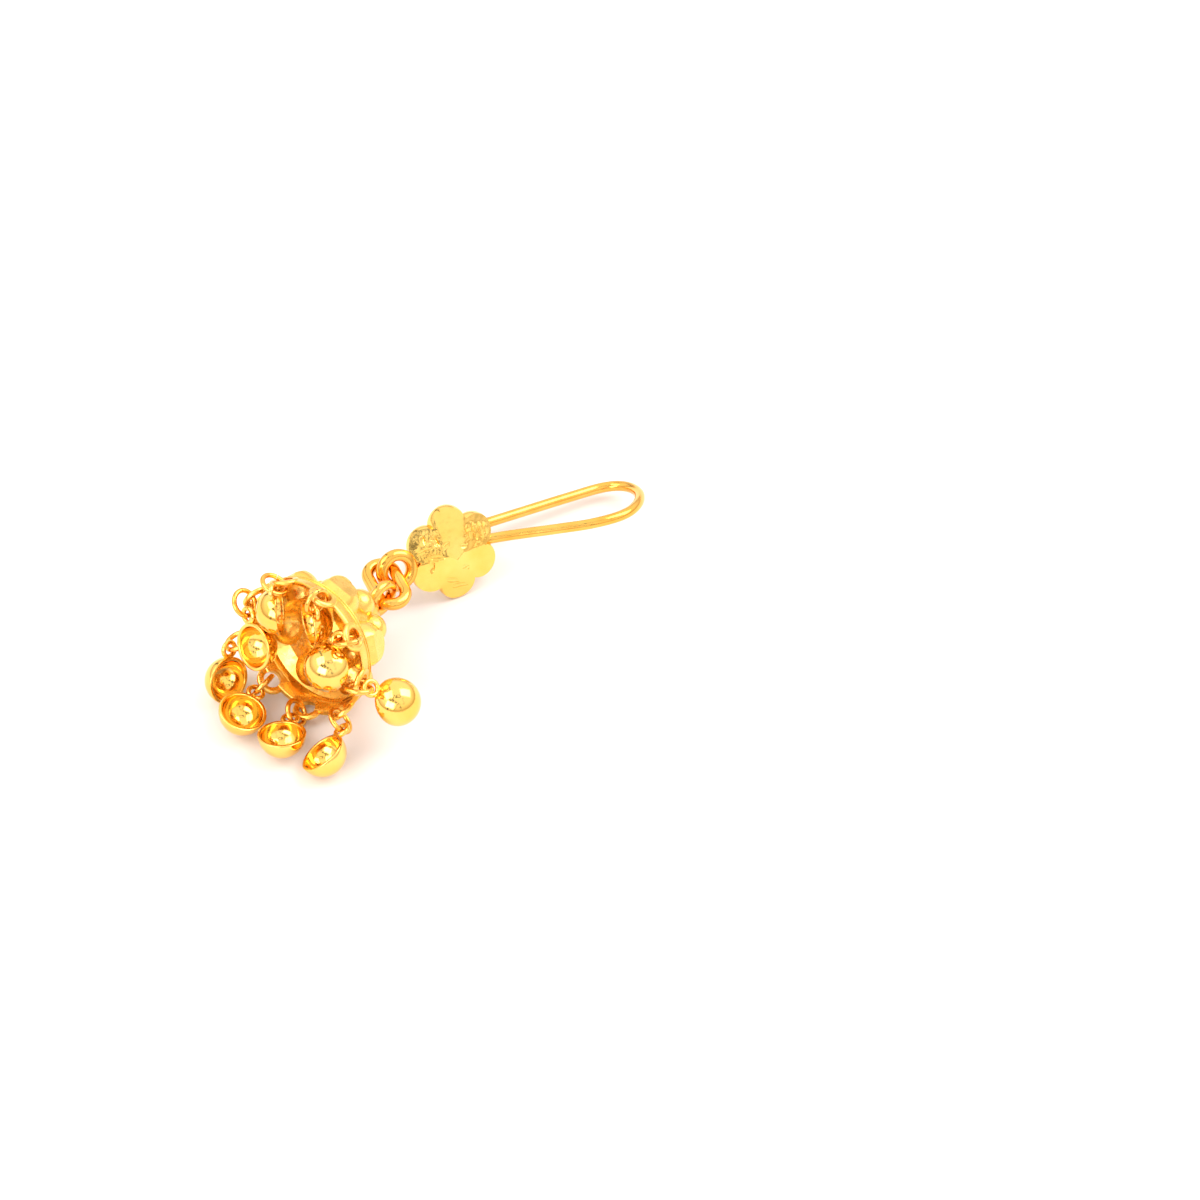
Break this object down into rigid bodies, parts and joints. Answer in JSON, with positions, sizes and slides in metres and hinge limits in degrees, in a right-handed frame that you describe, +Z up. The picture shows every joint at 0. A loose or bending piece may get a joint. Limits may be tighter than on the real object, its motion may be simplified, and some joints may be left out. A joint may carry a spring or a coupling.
{
  "type": "cluster drop earring",
  "caption": "Drop earring with a long ear hook, a flower cluster, a link and an open bell of faceted balls whose scalloped edge carries small cup drops, shown lying on its side.",
  "frame": {"origin": "middle of the foot of the part's box, on the table it lies on", "axes": "+Z up from the table, +X along the ear hook from the flower towards the bend, +Y to the left of +X"},
  "size_m": [0.0434, 0.0202, 0.0139],
  "materials": {
    "gold_hook": "polished gold, with flat diamond-cut facets on the flower",
    "gold_bell": "polished gold, with diamond-cut and finely textured patches on the balls",
    "gold_rings": "polished gold wire",
    "gold_cups": "polished gold, bright inside and out"
  },
  "bodies": {
    "root": {"ear_hook_and_flower": "gold_hook", "connecting_link": "gold_rings", "bell": "gold_bell", "jump_ring_1": "gold_rings", "jump_ring_2": "gold_rings", "jump_ring_3": "gold_rings", "jump_ring_4": "gold_rings", "jump_ring_5": "gold_rings", "jump_ring_6": "gold_rings", "jump_ring_7": "gold_rings", "jump_ring_8": "gold_rings", "jump_ring_9": "gold_rings", "drop_cup_1": "gold_cups", "drop_cup_2": "gold_cups", "drop_cup_3": "gold_cups", "drop_cup_4": "gold_cups", "drop_cup_5": "gold_cups", "drop_cup_6": "gold_cups", "drop_cup_7": "gold_cups", "drop_cup_8": "gold_cups", "drop_cup_9": "gold_cups"}
  },
  "joints": []
}
